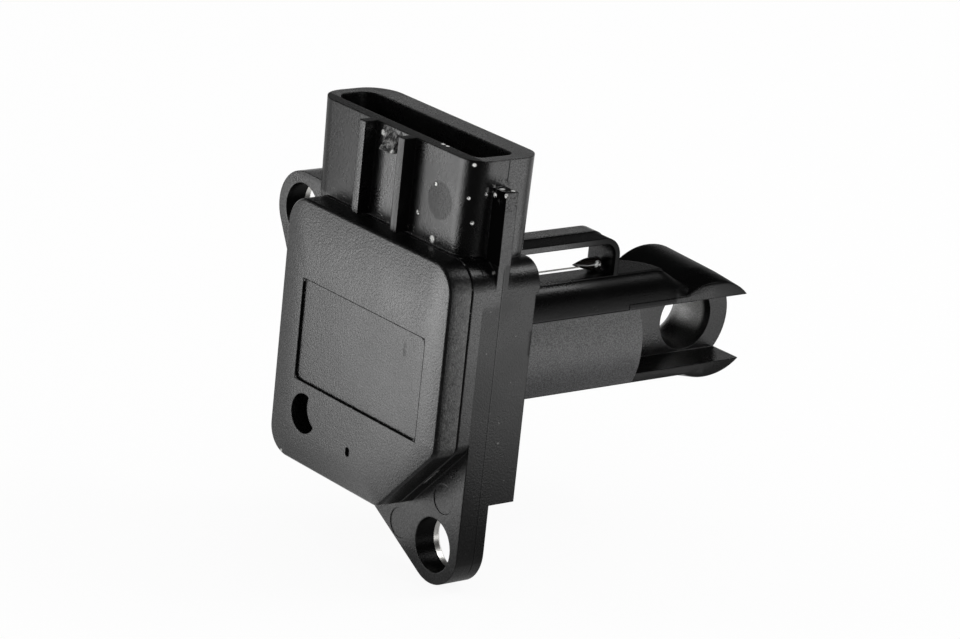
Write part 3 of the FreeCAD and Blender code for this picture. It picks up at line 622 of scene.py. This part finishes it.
dress("base_plate", turned_metal("plate_metal", (0.72, 0.72, 0.73, 1), rings=1.0))
for name, finish, low, high, size, polish in (
    ("substrate", "board_ceramic", (0.72, 0.70, 0.66, 1), (0.80, 0.78, 0.74, 1), 900.0, 0.5),
    ("control_chip", "chip_resin", (0.012, 0.012, 0.013, 1), (0.03, 0.03, 0.03, 1), 2500.0, 0.45),
    ("chip_capacitors", "capacitor_ceramic", (0.42, 0.30, 0.18, 1), (0.5, 0.37, 0.23, 1), 1800.0, 0.4),
    ("chip_resistors", "resistor_glaze", (0.02, 0.02, 0.03, 1), (0.05, 0.05, 0.06, 1), 1800.0, 0.3),
):
    dress(name, fired_board(finish, low, high, size, polish))
dress("bond_wires", turned_metal("ribbon_metal", (0.78, 0.78, 0.79, 1), rings=0.5))

gel, place, shader = new_finish("clear_gel")
haze = place.noise(300.0, 2.0)
plug_in(place, shader, {
    "Base Color": haze.blend((0.90, 0.92, 0.90, 1), (0.96, 0.97, 0.95, 1)),
    "Roughness": haze * 0.1 + 0.04,
    "Transmission Weight": 0.9,
    "IOR": 1.41,
})
dress("circuit_gel", gel)

# Floor, surroundings and lamp
# The camera sees a pale floor under the lower ear and a white surround. Black plastic shows what it
# reflects: light from the left in front and from the right behind, and darkness overhead. One weak
# soft box stands behind the object.


def bearing_of(way):
    """Bearing of a place or a direction, seen from above, in degrees from +x towards +y."""
    east, north, _ = way.split()
    return way.maths("ARCTAN2", north, east) * (180 / math.pi)


# Sizes here are in millimetres, reach is in metres and bearings are in degrees.
floor_half = 4000.0
floor_gap = 0.3
floor_z = cad_low.z * 1000.0 - floor_gap
front_strength = 11.0
rear_strength = 4.4
floor_finish, place, shader = new_finish("floor_paper")
paper = place.noise(40.0, 2.0)
plug_in(place, shader, {
    "Base Color": paper.blend((0.86, 0.86, 0.86, 1), (0.88, 0.88, 0.88, 1)),
    "Roughness": 0.9,
})
bearing = bearing_of(place)
reach = place.distance((0, 0, 0))
front_reach = reach.step(-0.01, 0.17) * front_strength * (1 - reach.step(0.25, 0.5) * 0.4)
rear_reach = reach.step(0.03, 0.14) * rear_strength * (1 - reach.step(0.14, 0.30) * 0.75)
front_pool = bearing.step(-146, -132) * bearing.step(-88, -106) * front_reach
rear_pool = bearing.step(8, 26) * bearing.step(70, 46) * rear_reach
foot_pool = place.in_mm().spot((10.0, -8.0, floor_z), 30.0) * 0.35
elsewhere = (bearing.step(60, 90) + bearing.step(-135, -153)) * 0.9
reflected = front_pool + rear_pool + foot_pool + elsewhere + 0.03
camera_ray = place.node("ShaderNodeLightPath", {}, {}, "Is Camera Ray")
glossy_ray = place.node("ShaderNodeLightPath", {}, {}, "Is Glossy Ray")
clear_ray = place.node("ShaderNodeLightPath", {}, {}, "Is Transmission Ray")
strength = camera_ray + (1 - camera_ray) * reflected
white = place.node("ShaderNodeEmission", {}, {"Color": (1, 1, 1, 1), "Strength": strength})
glow = place.maths("MULTIPLY", camera_ray + glossy_ray + clear_ray, 0.92, clamp=True)
lay_over(place, shader, glow, white)
corners = np.array(((-1, -1), (1, -1), (1, 1), (-1, 1))) * floor_half
points = np.column_stack((corners, np.full(4, floor_z)))
floor = smooth_piece("floor", points, [(0, 1, 2, 3)], floor_finish)

surround = bpy.data.worlds.new("surround")
bpy.context.scene.world = surround
surround.use_nodes = True
sky = Wire(surround.node_tree)
direction = sky.node("ShaderNodeTexCoord", {}, {}, "Generated")
bearing = bearing_of(direction)
to_sky = direction.split()[2]
camera_ray = sky.node("ShaderNodeLightPath", {}, {}, "Is Camera Ray")
diffuse_ray = sky.node("ShaderNodeLightPath", {}, {}, "Is Diffuse Ray")
behind = bearing.step(75, 110) + bearing.step(-150, -165)
beside = bearing.step(12, 32) * bearing.step(110, 75)
front = bearing.step(-153, -135) * bearing.step(-88, -106)
window = bearing.step(-142, -130) * bearing.step(-106, -118) * to_sky.band(0.24, 0.44, 0.05)
near_lamp = bearing.band(-17.0, 10.0, 3.0) * to_sky.band(-0.16, 0.14, 0.03)
backdrop = (
    behind * to_sky.step(0.38, 0.05)
    + beside * to_sky.step(0.14, 0.0) * 2.2
    + front * to_sky.step(0.16, 0.0) * 5.0
    + window * 5.5
    + near_lamp * 4.0
    + 0.03
)
light = greatest((camera_ray, diffuse_ray * 0.85, backdrop))
background = surround.node_tree.nodes["Background"]
plug_in(sky, background, {"Color": (1, 1, 1, 1), "Strength": light})

lamp_aim = Vector((0.30, 0.61, 0.74)).normalized()
lamp_distance = 0.7
lamp = bpy.data.lights.new("lamp_rear", "AREA")
lamp.shape = "SQUARE"
lamp.size = 0.25
lamp.energy = 1.1
soft_box = bpy.data.objects.new("lamp_rear", lamp)
soft_box.location = (cad_low + cad_high) / 2 + lamp_aim * lamp_distance
soft_box.rotation_mode = "QUATERNION"
soft_box.rotation_quaternion = lamp_aim.to_track_quat("Z", "Y")
bpy.context.scene.collection.objects.link(soft_box)
